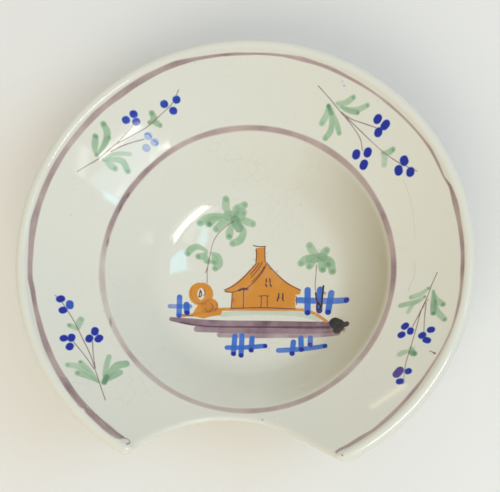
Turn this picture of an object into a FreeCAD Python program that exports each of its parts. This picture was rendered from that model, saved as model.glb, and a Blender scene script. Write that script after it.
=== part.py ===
"""Shaving basin: a round bowl of glazed earthenware with a broad rising rim, a rolled lip, a low
foot ring and a curved notch in the rim that fits against the neck. It is one thrown piece, and the
notch was cut and smoothed by hand, so its two horns aren't quite alike.

The basin stands on its foot: the origin is the centre of the foot ring on the table, +Z points up
out of the bowl, and the notch is on the -Y side. All sizes are in millimetres and degrees.
"""

import FreeCAD, Part
import math
import os

Vector = FreeCAD.Vector
AXIS = Vector(0, 0, 1)
ORIGIN = Vector(0, 0, 0)

# Thickness of the clay in the side and rim, and in the middle of the floor
wall = 6.2
floor_thickness = 6.4

# Well, a bowl whose side steepens from its shallow floor up to the painted ring
well_floor_curve = 186.0
well_floor_end_angle = 16.0
well_side_curve = 34.0
well_side_angle = 45.0
well_mouth_radius = 88.8
well_edge_round = 12.0

# Rim, a broad straight cone
rim_radius = 140.0
rim_angle = 32.4

# Rolled lip, a bead that stands proud of the rim above and below
lip_width = 8.6
lip_rise_angle = 62.0
lip_foot_round = 4.5
lip_crown_round = 4.0
lip_under_width = 7.0
lip_under_round = 4.0
lip_bottom_round = 4.0
lip_shoulder_angle = 40.0

# Foot ring, turned on the wheel out of a thicker floor
foot_radius = 49.0
foot_width = 5.6
foot_recess = 2.6
foot_root_bevel = 2.4
foot_edge_bevel = 0.9

# Neck notch: an arc that runs into a small horn on the left and gives way to a straight flank some
# way before a blunt horn on the right
notch_radius = 85.0
notch_reach = 97.3
right_flank_lead = 22.5
left_horn_round = 4.0
right_horn_round = 9.0
smoothed_edge_round = 1.6

# Clay left outside the outline until it is trimmed, and how far a cutting shape runs past the clay
trim_allowance = 1.5
spare = 12.0


def sine(angle):
    return math.sin(math.radians(angle))


def cosine(angle):
    return math.cos(math.radians(angle))


class SectionLine:
    """A line in the plane of radius and height, grown outwards from the bowl's axis."""

    def __init__(self, height):
        self.radius = 0.0
        self.height = height
        self.angle = 0.0
        self.edges = []

    def point(self):
        return Vector(self.radius, 0.0, self.height)

    def run_to(self, radius):
        """Go straight on to this radius, at the angle that the line has now."""
        start = self.point()
        self.height += (radius - self.radius) * sine(self.angle) / cosine(self.angle)
        self.radius = radius
        self.edges.append(Part.LineSegment(start, self.point()).toShape())

    def turn_to(self, angle, curve):
        """Go round an arc of radius curve until the line rises at this angle."""
        side = 1.0 if angle > self.angle else -1.0
        centre_radius = self.radius - side * curve * sine(self.angle)
        centre_height = self.height + side * curve * cosine(self.angle)

        def on_arc(slope):
            across = centre_radius + side * curve * sine(slope)
            up = centre_height - side * curve * cosine(slope)
            return Vector(across, 0.0, up)

        start = self.point()
        middle = on_arc((self.angle + angle) / 2)
        end = on_arc(angle)
        self.edges.append(Part.Arc(start, middle, end).toShape())
        self.radius = end.x
        self.height = end.z
        self.angle = angle

    def highest(self):
        return max(edge.BoundBox.ZMax for edge in self.edges)

    def section_above(self, top):
        """The flat section between this line and a level top."""
        outer = Vector(self.radius, 0.0, top)
        inner = Vector(0.0, 0.0, top)
        start = self.edges[0].Vertexes[0].Point
        closing = [
            Part.LineSegment(self.point(), outer).toShape(),
            Part.LineSegment(outer, inner).toShape(),
            Part.LineSegment(inner, start).toShape(),
        ]
        return Part.Face(Part.Wire(self.edges + closing))


def well_and_rim_line(depth):
    """The well and the start of the rim, at this depth of clay below the glazed upper face."""
    line = SectionLine(foot_recess + floor_thickness - depth)
    line.turn_to(well_floor_end_angle, well_floor_curve + depth)
    line.turn_to(well_side_angle, well_side_curve + depth)
    line.run_to(well_mouth_radius + depth * sine(well_side_angle))
    line.turn_to(rim_angle, well_edge_round - depth)
    return line


def upper_line():
    """The glazed upper face, out over the crown of the lip."""
    line = well_and_rim_line(0.0)
    line.run_to(rim_radius - lip_width)
    line.turn_to(lip_rise_angle, lip_foot_round)
    line.turn_to(-lip_shoulder_angle, lip_crown_round)
    line.run_to(rim_radius + trim_allowance)
    return line


def under_line():
    """The underside, one wall below the upper face, out round the bottom of the lip."""
    line = well_and_rim_line(wall)
    line.run_to(rim_radius - lip_under_width)
    line.turn_to(0.0, lip_under_round)
    line.turn_to(lip_shoulder_angle, lip_bottom_round)
    line.run_to(rim_radius + trim_allowance)
    return line


def disc_section(radius, height):
    """The section of a disc that stands on the table."""
    corners = [
        Vector(0, 0, 0),
        Vector(radius, 0, 0),
        Vector(radius, 0, height),
        Vector(0, 0, height),
        Vector(0, 0, 0),
    ]
    return Part.Face(Part.makePolygon(corners))


def horn(centre, towards_notch, horn_round):
    """The three points of a horn's rounding, from the notch round to the rim."""
    towards_rim = Vector(centre).normalize()
    towards_tip = (towards_notch + towards_rim).normalize()
    return [centre + way * horn_round for way in (towards_notch, towards_tip, towards_rim)]


def between_rim_and_notch(notch_centre, horn_round, side):
    """The centre that touches the rim's circle from inside and the notch's arc from outside."""
    from_axis = rim_radius - horn_round
    from_notch = notch_radius + horn_round
    far = notch_centre.Length
    along = (from_axis ** 2 - from_notch ** 2 + far ** 2) / (2 * far)
    return Vector(side * math.sqrt(from_axis ** 2 - along ** 2), -along, 0)


def left_horn(notch_centre):
    """The rounding at the end of the notch's arc."""
    centre = between_rim_and_notch(notch_centre, left_horn_round, -1.0)
    return horn(centre, (notch_centre - centre).normalize(), left_horn_round)


def right_flank(notch_centre):
    """Where the arc gives way to the straight flank, and the way into the clay there."""
    arc_end = between_rim_and_notch(notch_centre, right_horn_round, 1.0) - notch_centre
    lead_angle = math.degrees(right_flank_lead / notch_radius)
    flank_angle = math.degrees(math.atan2(arc_end.x, arc_end.y)) - lead_angle
    into_clay = Vector(sine(flank_angle), cosine(flank_angle), 0)
    return notch_centre + into_clay * notch_radius, into_clay


def right_horn(flank_start, into_clay):
    """The rounding that touches the straight flank and the rim's circle from inside."""
    along_flank = Vector(into_clay.y, -into_clay.x, 0)
    beside_start = flank_start + into_clay * right_horn_round
    from_axis = rim_radius - right_horn_round
    back = beside_start.dot(along_flank)
    flank_length = math.sqrt(back ** 2 + from_axis ** 2 - beside_start.Length ** 2) - back
    centre = beside_start + along_flank * flank_length
    return horn(centre, into_clay * -1.0, right_horn_round)


def plan_outline():
    """The basin's outline from above: the rim's circle, two rounded horns and the notch."""
    notch_centre = Vector(0, -notch_reach - notch_radius, 0)
    notch_top = Vector(0, -notch_reach, 0)
    flank_start, into_clay = right_flank(notch_centre)
    left = left_horn(notch_centre)
    right = right_horn(flank_start, into_clay)
    rim_back = Vector(0, rim_radius, 0)
    lines = [
        Part.Arc(left[2], left[1], left[0]),
        Part.Arc(left[0], notch_top, flank_start),
        Part.LineSegment(flank_start, right[0]),
        Part.Arc(right[0], right[1], right[2]),
        Part.Arc(right[2], rim_back, left[2]),
    ]
    return Part.Wire([line.toShape() for line in lines])


def trimmed_edges(shape):
    """The upper and lower edges of the upright faces that the plan outline left on the rim."""
    found = []
    for face in shape.Faces:
        upright = isinstance(face.Surface, (Part.Cylinder, Part.Plane))
        if upright and face.BoundBox.ZMin > foot_recess + floor_thickness:
            found += [edge for edge in face.Edges if not is_upright(edge)]
    return found


def is_upright(edge):
    return abs(edge.tangentAt(edge.FirstParameter).z) > 0.999


def circles(shape, radius):
    """The edges that are whole circles of this radius round the axis."""
    real = [edge for edge in shape.Edges if not edge.Degenerated]
    round_ones = [edge for edge in real if isinstance(edge.Curve, Part.Circle)]
    return [edge for edge in round_ones if abs(edge.Curve.Radius - radius) < 0.001]


def thrown_bowl():
    """The bowl as it comes off the wheel, still with the clay that its outline trims away."""
    upper = upper_line()
    top = upper.highest() + spare
    foot_inner_radius = foot_radius - foot_width
    block = disc_section(foot_radius, foot_recess + floor_thickness + spare)
    hollow = disc_section(foot_inner_radius, foot_recess)
    outside = under_line().section_above(top).fuse(block).removeSplitter()
    section = outside.cut(upper.section_above(top)).cut(hollow).Faces[0]
    bowl = section.revolve(ORIGIN, AXIS, 360)
    foot_edges = circles(bowl, foot_radius)
    standing = [edge for edge in foot_edges if edge.Curve.Center.z < 0.001]
    root = [edge for edge in foot_edges if edge.Curve.Center.z > 0.001]
    standing += [edge for edge in circles(bowl, foot_inner_radius) if edge.Curve.Center.z < 0.001]
    return bowl.makeChamfer(foot_root_bevel, root).makeChamfer(foot_edge_bevel, standing)


def basin():
    """The finished basin, trimmed to its outline and smoothed round every edge."""
    outline = Part.Face(plan_outline())
    height = upper_line().highest() + spare
    shape = thrown_bowl().common(outline.extrude(Vector(0, 0, height)))
    return shape.makeFillet(smoothed_edge_round, trimmed_edges(shape)).Solids[0]


os.makedirs("parts", exist_ok=True)
shape = basin()
box = shape.BoundBox
print("basin", shape.isValid(), "volume", round(shape.Volume / 1000, 1), "cm3")
print("size", round(box.XLength, 2), round(box.YLength, 2), round(box.ZLength, 2))
shape.exportStep("parts/basin.step")
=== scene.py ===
# %% [markdown]
# # A painted shaving basin
#
# The real thing is one bowl of tin-glazed earthenware. It was thrown on a wheel, a notch for the
# neck was cut out of its rim, and then it was glazed, painted with a few colours and fired. This
# lesson starts from the bowl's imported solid, makes a finer skin for it, and paints that skin.

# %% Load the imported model
import math

import bpy
import numpy as np
from mathutils import Matrix, Quaternion, Vector
from mathutils.geometry import delaunay_2d_cdt
from mathutils.kdtree import KDTree


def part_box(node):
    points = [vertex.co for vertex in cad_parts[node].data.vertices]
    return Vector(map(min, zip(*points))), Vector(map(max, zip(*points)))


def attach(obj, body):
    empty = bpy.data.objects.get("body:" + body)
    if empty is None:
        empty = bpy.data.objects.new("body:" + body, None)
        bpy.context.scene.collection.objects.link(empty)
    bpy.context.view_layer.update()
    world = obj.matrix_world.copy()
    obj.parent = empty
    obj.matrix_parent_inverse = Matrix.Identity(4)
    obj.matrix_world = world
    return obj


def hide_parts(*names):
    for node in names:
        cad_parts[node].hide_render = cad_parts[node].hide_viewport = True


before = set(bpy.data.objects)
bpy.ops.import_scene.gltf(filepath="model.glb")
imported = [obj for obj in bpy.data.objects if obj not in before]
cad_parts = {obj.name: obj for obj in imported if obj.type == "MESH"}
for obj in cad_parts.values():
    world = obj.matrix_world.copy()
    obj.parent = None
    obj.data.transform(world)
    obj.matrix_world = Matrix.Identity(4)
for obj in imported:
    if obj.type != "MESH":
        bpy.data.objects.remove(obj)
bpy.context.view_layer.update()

low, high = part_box("basin")
mm = 0.001
rim_radius = (high.x - low.x) / 2 / mm
print("the packed basin is", [round(v / mm, 1) for v in high - low], "mm")

# %% [markdown]
# ## The section of the bowl
#
# A potter shapes a bowl with a rib held against the turning clay, so a single line from the
# middle to the edge says everything about it. The line here has the same runs and arcs as the
# solid, in millimetres, sampled finely enough for a mirror-like glaze. The rib also left the rim
# a hair hollow, which shows only in the shape of its reflections. Two lines are needed: the
# glazed upper face, and the underside one wall below it.


# %% Grow a section line from runs and arcs
class SectionLine:
    """Points of a section, grown outwards from the bowl's axis."""

    def __init__(self, height):
        self.angle = 0.0
        self.radii = [0.0]
        self.heights = [height]

    def run_to(self, radius):
        """Go straight on to this radius, at the angle that the line has now."""
        start, rise = self.radii[-1], math.tan(math.radians(self.angle))
        for r in np.linspace(start, radius, 60)[1:]:
            self.heights.append(self.heights[-1] + (r - self.radii[-1]) * rise)
            self.radii.append(r)

    def turn_to(self, angle, curve):
        """Go round an arc of this radius until the line rises at this angle."""
        side = 1.0 if angle > self.angle else -1.0
        first = math.radians(self.angle)
        middle_r = self.radii[-1] - side * curve * math.sin(first)
        middle_z = self.heights[-1] + side * curve * math.cos(first)
        for slope in np.linspace(first, math.radians(angle), 300)[1:]:
            self.radii.append(middle_r + side * curve * math.sin(slope))
            self.heights.append(middle_z - side * curve * math.cos(slope))
        self.angle = angle

    def height_at(self, radius):
        return np.interp(radius, self.radii, self.heights)

    def slope_at(self, radius, reach=0.4):
        """How steeply the line rises here, measured over a short way to both sides."""
        rise = self.height_at(radius + reach) - self.height_at(radius - reach)
        return rise / (2 * reach)


# %% Draw the upper face and the underside
floor_height, wall = 9.0, 6.2
well_floor, well_side = (16, 186), (45, 34)
well_mouth, well_edge_round = 88.8, 12
rim_angle, rim_dish = 32.4, 3.5
lip_width, lip_under_width = 8.6, 7.0
lip_rise, lip_shoulder = 62, 40
lip_foot_round, lip_round = 4.5, 4.0
spare = 2


def well_and_rim(depth, rim_start):
    """The line from the middle to the start of the rim, this deep in the clay."""
    section = SectionLine(floor_height - depth)
    for angle, curve in (well_floor, well_side):
        section.turn_to(angle, curve + depth)
    section.run_to(well_mouth + depth * math.sin(math.radians(well_side[0])))
    section.turn_to(rim_start, well_edge_round - depth)
    return section


upper = well_and_rim(0.0, rim_angle - rim_dish)
lip_foot = rim_radius - lip_width
first_sine, last_sine = (math.sin(math.radians(rim_angle + a)) for a in (-rim_dish, rim_dish))
upper.turn_to(rim_angle + rim_dish, (lip_foot - upper.radii[-1]) / (last_sine - first_sine))
upper.turn_to(lip_rise, lip_foot_round)
upper.turn_to(-lip_shoulder, lip_round)
upper.run_to(rim_radius + spare)

under = well_and_rim(wall, rim_angle)
under.run_to(rim_radius - lip_under_width)
under.turn_to(0, lip_round)
under.turn_to(lip_shoulder, lip_round)
under.run_to(rim_radius + spare)
print("crown of the lip at", round(max(upper.heights), 2), "mm")

# %% [markdown]
# ## The camera
#
# The photograph looks almost straight into the bowl. Its place was worked out from the ellipses
# that the lip and the well's edge make in the picture. The same numbers serve twice: they set
# the camera, and they let a brush stroke be laid on the glaze under the pixel where it is seen.

# %% Place the camera
picture = Vector((500, 492))
focal = 1500.0
shift = Vector((-6.6, 9.0))
azimuth, elevation, roll = math.radians(19.2), math.radians(75.05), math.radians(4.1)
distance = 909.5
film_width = 36
aim_height = 75.6

back = Vector((
    math.sin(azimuth) * math.cos(elevation),
    -math.cos(azimuth) * math.cos(elevation),
    math.sin(elevation),
))
level = (-back).cross(Vector((0, 1, 0))).normalized()
upright = level.cross(-back)
side = math.cos(roll) * level + math.sin(roll) * upright
top = -math.sin(roll) * level + math.cos(roll) * upright
eye = Vector((0, 0, aim_height)) + back * distance

camera_data = bpy.data.cameras.new("camera")
camera_data.sensor_width = film_width
camera_data.lens = focal / picture.x * film_width
camera_data.shift_x = -shift.x / picture.x
camera_data.shift_y = shift.y / picture.x
camera = bpy.data.objects.new("camera", camera_data)
bpy.context.scene.collection.objects.link(camera)
camera.matrix_world = Matrix((
    (side.x, top.x, back.x, eye.x * mm),
    (side.y, top.y, back.y, eye.y * mm),
    (side.z, top.z, back.z, eye.z * mm),
    (0, 0, 0, 1),
))
bpy.context.scene.camera = camera
print("lens", round(camera_data.lens, 1), "mm, camera", round(distance), "mm away")


# %% Find the glaze under a pixel
def on_glaze(px, py):
    """The point of the upper face, in millimetres, that the photograph shows at this pixel."""
    ray = -back
    ray = ray + side * ((px - picture.x / 2 - shift.x) / focal)
    ray = ray + top * ((picture.y / 2 + shift.y - py) / focal)
    height = 50.0
    for _ in range(40):
        spot = eye + ray * ((height - eye.z) / ray.z)
        height = 0.5 * height + 0.5 * float(upper.height_at(math.hypot(spot.x, spot.y)))
    return spot


def pixel_size(spot):
    """Width of one pixel on the glaze at this point, in millimetres."""
    return (eye - spot).dot(back) / focal


print("middle of the picture lies at", [round(v, 1) for v in on_glaze(250, 246)])

# %% [markdown]
# ## The outline from above
#
# Seen from above, the basin is a circle with a bite out of it: a wide round notch for the neck.
# The hand that cut it left a small horn on the left, where the arc of the notch runs straight
# into the rounding, and a blunt one on the right, at the end of a short straight flank. Drawing
# the same outline a little further in gives the line where the flat face ends and the edge
# begins.

# %% Helpers for an outline
full = 2 * math.pi


def bearing(vector):
    return math.atan2(vector[1], vector[0])


def arc(middle, radius, first, last, bulge, step):
    """Places round an arc and the way out of the clay; bulge is 1 outside it, -1 in the notch."""
    count = max(2, round(abs(last - first) * radius / step))
    turn = np.linspace(first, last, count, endpoint=False)
    way = np.column_stack([np.cos(turn), np.sin(turn)])
    return np.hstack([middle + radius * way, bulge * way])


# %% Place the left horn, which touches the rim's circle from inside and the notch's from outside
notch_radius, notch_reach = 80.0, 97.5
notch_middle = np.array([0.0, -notch_reach - notch_radius])
left_round, right_round = 4.0, 9.0

from_axis, from_notch = rim_radius - left_round, notch_radius + left_round
notch_distance = -notch_middle[1]
down = (from_axis ** 2 - from_notch ** 2 + notch_distance ** 2) / (2 * notch_distance)
left_horn = np.array([-math.sqrt(from_axis ** 2 - down ** 2), -down])
print("left horn round", left_horn.round(1))

# %% Place the right horn, at the end of the straight flank
flank_angle = math.radians(26.5)
flank = np.array([math.cos(flank_angle), -math.sin(flank_angle)])
into_clay = np.array([math.sin(flank_angle), math.cos(flank_angle)])
flank_start = notch_middle + into_clay * notch_radius
beside = flank_start + into_clay * right_round
back_along = beside @ flank
beyond = math.sqrt(back_along ** 2 + (rim_radius - right_round) ** 2 - beside @ beside)
flank_length = beyond - back_along
right_horn = beside + flank * flank_length
print("right horn round", right_horn.round(1), "after a flank of", round(flank_length, 1), "mm")

# %% Join the outline
long_step, left_step, right_step = 1.1, 0.4, 0.6
flank_steps = np.arange(0, flank_length, long_step)[:, None]
outline = np.vstack([
    arc(np.zeros(2), rim_radius, bearing(right_horn), bearing(left_horn) + full, 1, long_step),
    arc(left_horn, left_round, bearing(left_horn), bearing(notch_middle - left_horn), 1, left_step),
    arc(notch_middle, notch_radius, bearing(left_horn - notch_middle), bearing(into_clay), -1, long_step),
    np.hstack([flank_start + flank_steps * flank, 0 * flank_steps - into_clay]),
    arc(right_horn, right_round, bearing(-into_clay), bearing(right_horn), 1, right_step),
])
outline, outward = outline[:, :2], outline[:, 2:]
edge_reach = 3.1
inner_outline = outline - outward * edge_reach
print(len(outline), "stations, basin", np.ptp(outline, axis=0).round(1), "mm across")

# %% [markdown]
# ## Brush strokes
#
# The painter worked with a few loaded brushes: a round one for leaves and berries, a fine one
# for stems and outlines, and a banding brush held still while the bowl turned. Each stroke here
# is a list of places that the brush passed through, read from the photograph as pixels,
# and its width there. A smooth curve runs through them, and it is laid on the glaze. Pigment
# then becomes a value at each point of the mesh, so the paint needs no picture of any kind.

# %% Draw a smooth curve through a few places
def through(places, spacing=0.3):
    """Evenly spaced points on a smooth curve through a few places, and how far along each is."""
    places = np.array(places, float)
    if len(places) == 2:
        places = np.array([places[0], places.mean(axis=0), places[1]])
    before, after = 2 * places[0] - places[1], 2 * places[-1] - places[-2]
    knots = np.vstack([before, places, after])
    line, along = [], []
    for i in range(len(places) - 1):
        a, b, c, d = knots[i:i + 4]
        count = max(2, math.ceil(np.linalg.norm(c - b) / spacing))
        t = np.linspace(0, 1, count, endpoint=False)[:, None]
        cubic = 2 * b + (c - a) * t + (2 * a - 5 * b + 4 * c - d) * t ** 2
        cubic = cubic + (3 * b - a - 3 * c + d) * t ** 3
        line.append(cubic / 2)
        along.append((i + t[:, 0]) / (len(places) - 1))
    line.append(places[-1:])
    along.append([1.0])
    return np.vstack(line), np.concatenate(along)


# %% Lay a stroke, a dab or a filled shape
strokes = []
soft_edge = 0.2


def lay(pigment, pixels, width, amount=1.0, soft=soft_edge):
    """Lay a stroke through these pixels, this many pixels wide, evenly or from place to place."""
    spots = [on_glaze(*pixel) for pixel in pixels]
    line, along = through([spot.xy for spot in spots])
    marks = np.linspace(0, 1, len(np.atleast_1d(width)))
    size = np.interp(along, marks, np.atleast_1d(width)) * pixel_size(spots[0]) / 2
    marks = np.linspace(0, 1, len(np.atleast_1d(amount)))
    strength = np.interp(along, marks, np.atleast_1d(amount))
    strokes.append({"pigment": pigment, "line": line, "half": size, "amount": strength, "soft": soft})


def dab(pigment, pixel, width, amount, soft=soft_edge, pull=0.3):
    """Press the brush down at one pixel."""
    lay(pigment, [pixel, (pixel[0] + pull, pixel[1] + pull)], width, amount, soft)


def fill(pigment, pixels, amount=1.0):
    """Fill a shape whose corners are at these pixels."""
    corners = np.array([on_glaze(*pixel).xy for pixel in pixels])
    strokes.append({"pigment": pigment, "corners": corners, "amount": amount, "soft": soft_edge})

# %% [markdown]
# ## Four sprigs of berries
#
# Round the rim grow four sprigs, each a fine stem with side shoots, soft green leaves pressed
# down with the belly of the brush, and blue berries dabbed in threes. A leaf starts thin and
# ends wide and round, with a little pool of colour where the brush was lifted.

# %% Helpers for one leaf, stem and berry
def leaf(*pixels, width=6.0, amount=1.0, pool=0.35, base=0.0):
    """A leaf from its base, the first pixel, to its tip, with pools of colour at tip and base."""
    lay("green", pixels, [0.45 * width, 0.85 * width, 1.1 * width, 1.0 * width], amount, 0.36)
    for place, more in ((pixels[-1], pool), (pixels[0], base)):
        if more:
            dab("green", place, 0.55 * width, amount + more, 0.5)


def stem(*pixels, width=1.1, amount=0.85):
    """A stalk, which the berries are dabbed over later."""
    lay("stalk", pixels, width, amount)


def pen(*pixels, width=1.0, amount=1.3):
    """A fine dark line over everything else, as if drawn with a pen."""
    lay("ink", pixels, width, amount)


def berry(px, py, long=9.0, wide=8.0, lean=0.0, amount=2.1):
    """A dab of blue with a paler rim, longer one way if the brush dragged; lean turns that way."""
    reach = max(0.15, (long - wide) / 2)
    dx, dy = reach * math.cos(math.radians(lean)), -reach * math.sin(math.radians(lean))
    pull = [(px - dx, py - dy), (px + dx, py + dy)]
    lay("blue", pull, wide + 0.5, 0.6)
    lay("blue", pull, wide - 0.9, amount)


# %% Upper left sprig
stem((77.3, 171.6), (87, 165.5), (97.3, 159.5), (113, 146.5), (131, 136), (146.7, 127.3),
     (160.5, 115), (172.2, 103.3), (178.6, 89.8))
stem((111, 151.5), (122, 146), (132.3, 142.4), (144.3, 139.2))
stem((104, 154), (118, 142), (130, 129.5), (134.6, 121.5))
leaf((96.2, 155), (94.8, 147), (95.4, 136.5), width=5.8, amount=1.05, base=0.4)
leaf((97.5, 154.5), (104.6, 144), (107.2, 133), (103.6, 124.3), width=6.2, amount=1, base=0.4)
leaf((99, 153), (104, 144.5), (108.8, 137.5), width=4.6, amount=0.9)
leaf((103, 158.8), (112, 154.5), (120, 153.6), (130, 154), width=3.8, amount=0.7, pool=0)
leaf((103, 160), (113, 159.5), (122.5, 161.5), (127.8, 171), width=6, amount=0.9)
leaf((106, 161.5), (110, 165), (114.6, 168.2), width=6.4, amount=0.85, pool=0.3)
leaf((149.2, 122.6), (154, 119.5), (152, 113.4), width=6, base=0.3)
leaf((151.2, 121.5), (155.5, 123), (160, 125.2), width=5, pool=0.2)
for px, py, lean in ((176.5, 99.7, 20), (164.2, 104.1, 20), (173.3, 110.8, 5),
                     (133.6, 114.2, 10), (126, 120, 20), (136.3, 121.8, 25)):
    berry(px, py, 8.2, 7, lean, 1.72)
# Painted highlight: these three berries are laid pale, with only dark arcs of their rims, where the
# window's reflection washes over them
for px, py in ((148.3, 136), (154.7, 142.4), (146.4, 148)):
    lay("blue", [(px - 0.4, py), (px + 0.4, py)], 7.4, 0.5)
lay("blue", [(145, 134.6), (148.2, 133.8), (151.2, 137)], 1.2, 1)
lay("blue", [(153.4, 140.4), (157.3, 142.9), (156.2, 145)], 1.2, 1)
lay("blue", [(143.4, 147.6), (146, 150.6), (149, 149.4)], 1, 0.4)

# %% Upper right sprig
stem((318.2, 85.8), (329.7, 98.6), (340.9, 112.1), (350.5, 121), (361.6, 132),
     (382.3, 151.2), (398.3, 162.3), (408, 167), (417.1, 171.1))
stem((340.9, 112.1), (352, 119.3), (364, 123.5), (376, 127.6), width=1.1)
stem((341.5, 112.8), (352, 125.7), (360, 138.4), (362.6, 150.4))
leaf((328, 106), (326.8, 114), (322, 123), width=6, amount=0.85, pool=0.1, base=0.5)
leaf((328.8, 106), (331.6, 120.9), (330.4, 131), (325.4, 138), width=5.8, amount=1, pool=0.1, base=0.5)
leaf((330.5, 107.5), (336.2, 122), (339.2, 133), width=4.8, amount=0.85, pool=0.1)
lay("green", [(328.6, 106), (331.4, 113)], [4, 4.8], 1.45, 0.6)
leaf((336.6, 103), (345.6, 102.6), (353.2, 97.4), width=5.4, amount=0.85, pool=0.5)
leaf((337.2, 104), (346, 108.8), (357, 109.8), (367.4, 105.2), width=5, amount=0.8, pool=0.6)
leaf((341, 107), (348, 110.5), (357.4, 112.6), width=4.6, amount=1.1, pool=0.4)
leaf((382, 153), (384.4, 158), (384.2, 164.6), width=5.4, amount=0.8, pool=0)
leaf((382, 153), (388.2, 152.4), (392.6, 149.6), width=5.8, amount=1, pool=0.3)
for px, py, long, lean in ((377.7, 119, 9.6, 60), (385.3, 124.9, 10.5, 50), (378.3, 132.3, 9.4, 80),
                           (356.2, 154.4, 9.8, 80), (367.7, 152.4, 9.8, 75), (363.8, 164.7, 10.2, 70),
                           (404.2, 160.7, 10.4, 110), (398.6, 170.3, 10.6, 100), (410.4, 171.9, 9.8, 90)):
    berry(px, py, long, 8.2, lean, 2)
lay("blue", [(378.5, 131), (384.5, 126)], 4.5, 1.2)
lay("blue", [(342.2, 81.2), (342.8, 82)], 1.8, 0.22)
lay("blue", [(343.8, 85.2), (344.6, 86)], 2, 0.34)

# %% Lower left sprig
stem((105.2, 399.9), (100.5, 386), (95.7, 371.2), (90, 354), (82.9, 339.3), (75.5, 324),
     (68.6, 312.2), (61, 301), (55, 295.1))
stem((94, 368.8), (84.5, 355.2), (73.3, 341.7), width=1.1)
stem((95.3, 368), (93.3, 355.2), (92.5, 341.7), width=1.1)
leaf((98, 382), (90, 374), (78, 366.6), (67.8, 364.8), width=5.8, amount=0.75, pool=0.5)
leaf((97, 379), (90, 371), (80.4, 361.8), width=4.6, amount=0.8, pool=0.8)
leaf((98, 381.5), (86, 375.5), (77.6, 372.9), width=6, amount=0.9, pool=0.5)
leaf((103.8, 379), (105.6, 369), (109, 356.6), width=5, amount=1, pool=0)
leaf((104.6, 382), (110, 373), (117, 365.8), (125.8, 363.8), width=7.4, amount=1.15, pool=0)
leaf((105.5, 381), (113, 376), (119.6, 372.4), width=6.4, amount=1.1, pool=0)
lay("green", [(104, 382.5), (106.5, 376.5)], 5.4, 1.65, 0.5)
leaf((78.2, 328.8), (78.8, 324), (81, 319.4), width=6.2, amount=0.85, pool=0.1)
leaf((77, 329.8), (73.6, 327), (69.4, 325.2), width=5, amount=0.8, pool=0.7)
for px, py, long, lean, amount in ((60.6, 298.9, 9, 20, 1.9), (69.8, 304.7, 9.6, 90, 1.35),
                                   (63, 310.1, 8.6, 20, 1.9), (63.8, 338.2, 8.2, 20, 1.95),
                                   (71.4, 337.7, 9, 70, 1.95), (69.7, 346.5, 8.6, 60, 1.95),
                                   (94.9, 331.3, 9.4, 80, 1.95), (98.9, 338.5, 9.4, 45, 2),
                                   (89.3, 338.5, 8.8, 70, 1.95)):
    berry(px, py, long, 7.2, lean, amount)

# %% Lower right sprig
stem((437.3, 272.3), (431.6, 285), (427, 297.8), (421, 311), (415.8, 329.7), (410.2, 348.9),
     (405.6, 364), (403.3, 384))
stem((426.6, 299.5), (420, 312.5), (412.6, 326.5), width=1.2)
stem((426.2, 302.6), (424.6, 317), (423.8, 332.9))
leaf((428.4, 288), (421.5, 293.5), (411.2, 297.3), width=4.8, amount=0.85, pool=0.1, base=0.6)
leaf((424.6, 296.5), (417, 301.5), (400.6, 305.6), width=5, amount=0.95, pool=0, base=0.5)
leaf((419, 300), (412.5, 305), (408, 312), width=4, amount=0.85, pool=0)
leaf((433.4, 292.4), (436.8, 300), (442.8, 304.2), width=6, amount=0.8, pool=0.6)
leaf((433.4, 290.8), (433.8, 301), (433.3, 313), width=5.8, amount=1.25, pool=0.5)
leaf((434.8, 301), (437.6, 311.5), (444.4, 319.2), width=5.8, amount=0.85, pool=0.6)
leaf((411.2, 347.5), (411.6, 350), (413, 352.8), width=5.8, amount=1.05, pool=0)
leaf((409.4, 351.6), (412, 353), (414.4, 353.6), width=5.8, amount=1.2, pool=0.4)
leaf((409, 351.5), (404.5, 352), (399.4, 354.4), width=5.2, amount=0.75, pool=0)
for px, py, long, lean in ((405.1, 326.1, 8.8, 40), (410.4, 331, 8.2, 80), (401.5, 334.8, 8.4, 25),
                           (431, 329.7, 8.4, 10), (422.2, 335.3, 8.6, 30), (426.7, 340.1, 9, -20),
                           (408.2, 371.2, 7.8, 20), (399.9, 381.4, 8.4, 10)):
    berry(px, py, long, 6.8, lean, 2)
berry(398.3, 372.4, 10.6, 8.2, 50, 1.2)
lay("violet", [(396.4, 374.4), (400, 370.2)], 8, 1)
pen((429.8, 351), (432.4, 352), (434.8, 353.4), width=[1.2, 1, 2.2], amount=0.9)
lay("stalk", [(414.8, 262), (414.4, 276), (410.8, 284), (408.2, 291.5)], 0.8, 0.22)
lay("stalk", [(403.4, 180), (409.4, 196), (413.6, 218), (415, 240)], 0.8, 0.16)
print(len(strokes), "strokes in the four sprigs")

# %% [markdown]
# ## The cottage in the well
#
# In the middle stands a small cottage on a strip of ground, with two slender trees, a curled
# bush and four bits of blue fence. It is a stock motif of country potteries, put down in a
# minute: flat orange for the walls, washes for the ground, and fine dark lines over the top.

# %% The two trees
stem((207.1, 283), (207.6, 268), (210.2, 254.4), (213.4, 242), (218.6, 233.3), (226.5, 226),
     (233.9, 220.9), width=1.1)
stem((205.4, 273), (207.6, 267), width=1)
for crown in (
    [(234.5, 218), (226.5, 209), (225.9, 199.5)], [(235, 216), (239, 209), (244.5, 205)],
    [(236, 217), (240, 212), (243.5, 212.5)], [(237, 219), (245, 221), (252.5, 223.8)],
    [(237, 221), (243.5, 231), (240, 240), (232.8, 243.4)], [(233, 222), (230.2, 230), (229.2, 236.5)],
    [(231, 216.5), (217, 216), (207, 218.2), (200, 223)], [(222, 218), (214, 219), (209, 223.8)],
    [(232, 219), (224, 222.5), (216.5, 229)], [(236, 215.5), (236, 210.5), (237, 208)],
):
    leaf(*crown, width=7.2, amount=0.9, pool=0.18)
for tip in ((200.6, 223), (209.4, 223.8), (229.4, 236)):
    dab("green", tip, 4.6, 1.35, 0.5)
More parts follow.
